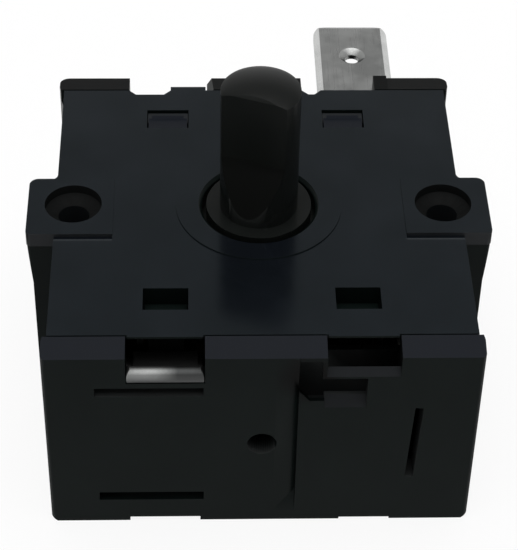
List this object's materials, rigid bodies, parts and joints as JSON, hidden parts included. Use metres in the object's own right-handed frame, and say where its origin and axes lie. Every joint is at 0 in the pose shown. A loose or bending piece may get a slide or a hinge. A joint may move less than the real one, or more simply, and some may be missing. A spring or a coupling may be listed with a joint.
{
  "type": "rotary switch",
  "caption": "Rotary selector switch: black moulded box with fixing ears, plastic D shaft, snap slots, terminal windows and plated push-on tabs; a cam drum inside works leaf contacts.",
  "frame": {"origin": "on the shaft axis, level with the tops of the two ear pads that seat on the panel", "axes": "+Z out along the shaft, +X along the line of the two ears, +Y towards the side that the tabs leave"},
  "size_m": [0.0356, 0.0417, 0.0297],
  "materials": {
    "housing_plastic": "moulded black polyester, smooth satin",
    "shaft_plastic": "moulded black nylon, satin",
    "drum_plastic": "moulded natural acetal, satin",
    "plated_terminal": "tin-plated brass strip, rolled",
    "contact_bronze": "phosphor bronze spring strip",
    "spring_steel": "bright spring steel strip",
    "contact_silver": "silver contact rivet"
  },
  "bodies": {
    "housing": {"cover": "housing_plastic", "base": "housing_plastic", "detent_spring_front": "spring_steel", "detent_spring_rear": "spring_steel", "terminal_common": "plated_terminal", "terminal_front_left": "plated_terminal", "terminal_rear_left": "plated_terminal", "terminal_rear_right": "plated_terminal", "leaf_left_upper": "contact_bronze", "leaf_left_lower": "contact_bronze", "leaf_right_upper": "contact_bronze", "moving_contact_left_upper": "contact_silver", "moving_contact_left_lower": "contact_silver", "moving_contact_right_upper": "contact_silver", "fixed_contact_left_upper": "contact_silver", "fixed_contact_left_lower": "contact_silver", "fixed_contact_right_upper": "contact_silver", "leaf_rivets": "plated_terminal"},
    "rotor": {"shaft": "shaft_plastic", "cam_drum": "drum_plastic"}
  },
  "joints": [
    {"name": "rotor_turn", "type": "hinge", "parent": "housing", "child": "rotor", "pos_m": [0, 0, 0], "axis": [0, 0, 1], "continuous": true, "deforming": ["detent_spring_front", "detent_spring_rear", "leaf_left_upper", "leaf_left_lower", "leaf_right_upper"]}
  ]
}
